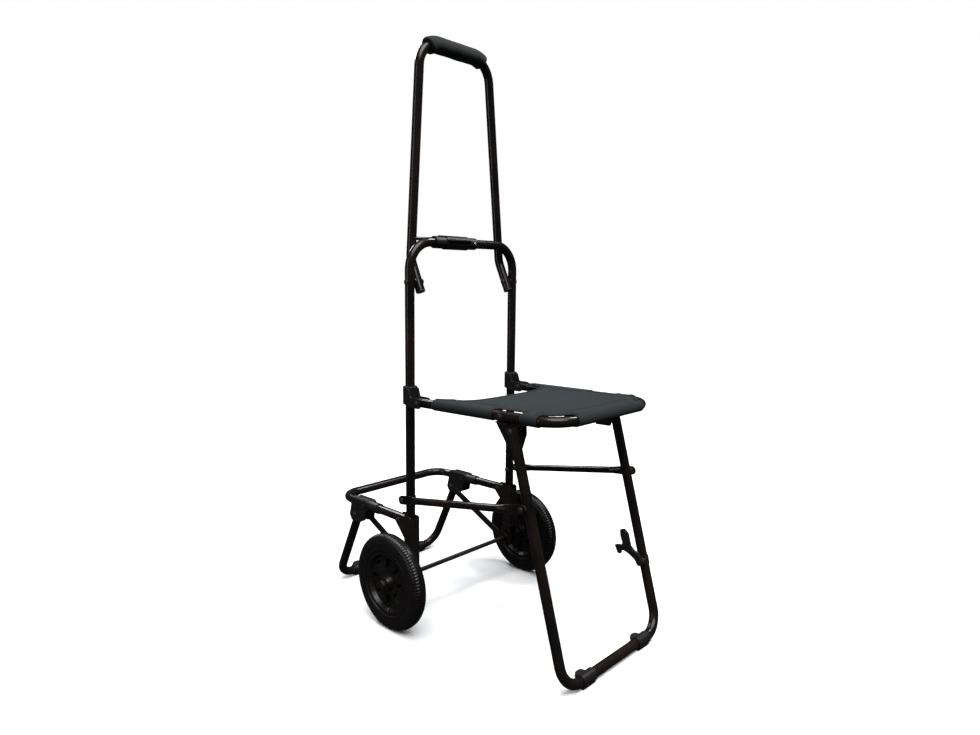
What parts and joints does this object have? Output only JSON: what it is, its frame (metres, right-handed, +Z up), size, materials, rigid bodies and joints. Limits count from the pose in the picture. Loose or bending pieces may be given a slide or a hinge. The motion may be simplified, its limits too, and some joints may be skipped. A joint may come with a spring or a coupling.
{
  "type": "folding game cart with seat",
  "caption": "Folding tubular game cart: upright on wheels with fold-down handle, sling seat on fold-out front legs, rear gear platform and stand.",
  "frame": {"origin": "on the floor, at the centre of the open cart's footprint box", "axes": "+Z up, the seat and its front legs towards -Y, the gear platform and rear stand towards +Y, +X to the right of a person who looks along +Y"},
  "size_m": [0.3848, 0.5848, 0.996],
  "materials": {
    "frame_paint": "gloss black powder coat on bent steel tube",
    "sheet_paint": "satin black paint on pressed steel sheet",
    "moulded_black": "fine grained black moulding",
    "hub_plastic": "black moulded hub",
    "grip_foam": "closed cell foam sleeve, dull",
    "seat_cloth": "plain weave polyester, dark grey",
    "tyre": "black solid tyre, slightly glossy side",
    "steel": "zinc plated rivets, pins and axle"
  },
  "bodies": {
    "frame": {"upright_posts": "frame_paint", "top_hoop": "frame_paint", "wheel_bracket_left": "sheet_paint", "wheel_bracket_right": "sheet_paint", "platform_pivot_pins": "steel", "axle": "sheet_paint", "axle_spacers": "moulded_black", "axle_caps": "moulded_black", "seat_hinge_collar_left": "moulded_black", "seat_hinge_collar_right": "moulded_black", "seat_hinge_pins": "steel", "handle_pivot_bolts": "steel", "handle_spacers": "moulded_black", "strut_rear_rivets": "steel", "latch_sleeve": "moulded_black"},
    "flap": {"latch_flap": "moulded_black"},
    "handle": {"handle_frame": "frame_paint", "handle_cross_rod": "frame_paint", "handle_end_plugs": "moulded_black", "handle_grip": "grip_foam"},
    "seat": {"seat_frame": "frame_paint", "seat_fabric": "seat_cloth", "leg_bracket_left": "sheet_paint", "leg_bracket_right": "sheet_paint", "leg_pivot_pins": "steel", "leg_bracket_rivets": "steel"},
    "legs": {"leg_frame": "frame_paint", "front_foot_left": "moulded_black", "front_foot_right": "moulded_black", "catch_lug": "moulded_black", "catch_pin": "moulded_black"},
    "catch": {"catch_lever": "moulded_black"},
    "strut_left": {"side_strut_left": "frame_paint", "strut_front_rivet_left": "steel"},
    "strut_right": {"side_strut_right": "frame_paint", "strut_front_rivet_right": "steel"},
    "platform": {"platform_frame": "frame_paint", "stand_block_left": "moulded_black", "stand_block_right": "moulded_black", "stand_block_rivets": "steel", "stand_pivot_pins": "steel"},
    "stand": {"stand_frame": "frame_paint", "stand_foot_left": "moulded_black", "stand_foot_right": "moulded_black"},
    "brace_left": {"brace_left": "sheet_paint"},
    "brace_right": {"brace_right": "sheet_paint"},
    "wheel_left": {"tyre_left": "tyre", "wheel_hub_left": "hub_plastic", "hub_bush_left": "steel"},
    "wheel_right": {"tyre_right": "tyre", "wheel_hub_right": "hub_plastic", "hub_bush_right": "steel"}
  },
  "joints": [
    {"name": "seat_fold", "type": "hinge", "parent": "frame", "child": "seat", "pos_m": [0, 0.0271, 0.3885], "axis": [-1, 0, 0], "range_deg": [0, 85]},
    {"name": "leg_fold", "type": "hinge", "parent": "seat", "child": "legs", "pos_m": [0, -0.1797, 0.374], "axis": [-1, 0, 0], "range_deg": [-101, 0]},
    {"name": "strut_left_turn", "type": "hinge", "parent": "frame", "child": "strut_left", "pos_m": [-0.146, 0.0561, 0.2195], "axis": [-1, 0, 0], "range_deg": [0, 67.5]},
    {"name": "strut_right_turn", "type": "hinge", "parent": "frame", "child": "strut_right", "pos_m": [0.146, 0.0561, 0.2195], "axis": [-1, 0, 0], "range_deg": [0, 67.5]},
    {"name": "catch_swing", "type": "hinge", "parent": "legs", "child": "catch", "pos_m": [0.1105, -0.2536, 0.12408], "axis": [-1, 0, 0], "range_deg": [0, 30]},
    {"name": "platform_fold", "type": "hinge", "parent": "frame", "child": "platform", "pos_m": [0, 0.0791, 0.178], "axis": [1, 0, 0], "range_deg": [0, 88]},
    {"name": "stand_fold", "type": "hinge", "parent": "platform", "child": "stand", "pos_m": [0, 0.2071, 0.155], "axis": [1, 0, 0], "range_deg": [-114, 0]},
    {"name": "brace_left_turn", "type": "hinge", "parent": "platform", "child": "brace_left", "pos_m": [-0.1115, 0.2071, 0.155], "axis": [1, 0, 0], "range_deg": [-33, 0]},
    {"name": "brace_right_turn", "type": "hinge", "parent": "platform", "child": "brace_right", "pos_m": [0.1115, 0.2071, 0.155], "axis": [1, 0, 0], "range_deg": [-33, 0]},
    {"name": "handle_fold", "type": "hinge", "parent": "frame", "child": "handle", "pos_m": [0, 0.0561, 0.587], "axis": [-1, 0, 0], "range_deg": [0, 162]},
    {"name": "latch_open", "type": "hinge", "parent": "frame", "child": "flap", "pos_m": [0, 0.0561, 0.6537], "axis": [1, 0, 0], "range_deg": [0, 35]},
    {"name": "wheel_left_spin", "type": "hinge", "parent": "frame", "child": "wheel_left", "pos_m": [-0.171, 0.0561, 0.0825], "axis": [1, 0, 0], "continuous": true},
    {"name": "wheel_right_spin", "type": "hinge", "parent": "frame", "child": "wheel_right", "pos_m": [0.171, 0.0561, 0.0825], "axis": [1, 0, 0], "continuous": true}
  ],
  "couplings": [
    {"joint": "leg_fold", "follows": "seat_fold", "ratio": -1.1773},
    {"joint": "strut_left_turn", "follows": "seat_fold", "ratio": 0.7815},
    {"joint": "strut_right_turn", "follows": "seat_fold", "ratio": 0.7815},
    {"joint": "stand_fold", "follows": "platform_fold", "ratio": -1.2898},
    {"joint": "brace_left_turn", "follows": "platform_fold", "ratio": -0.37},
    {"joint": "brace_right_turn", "follows": "platform_fold", "ratio": -0.37}
  ]
}
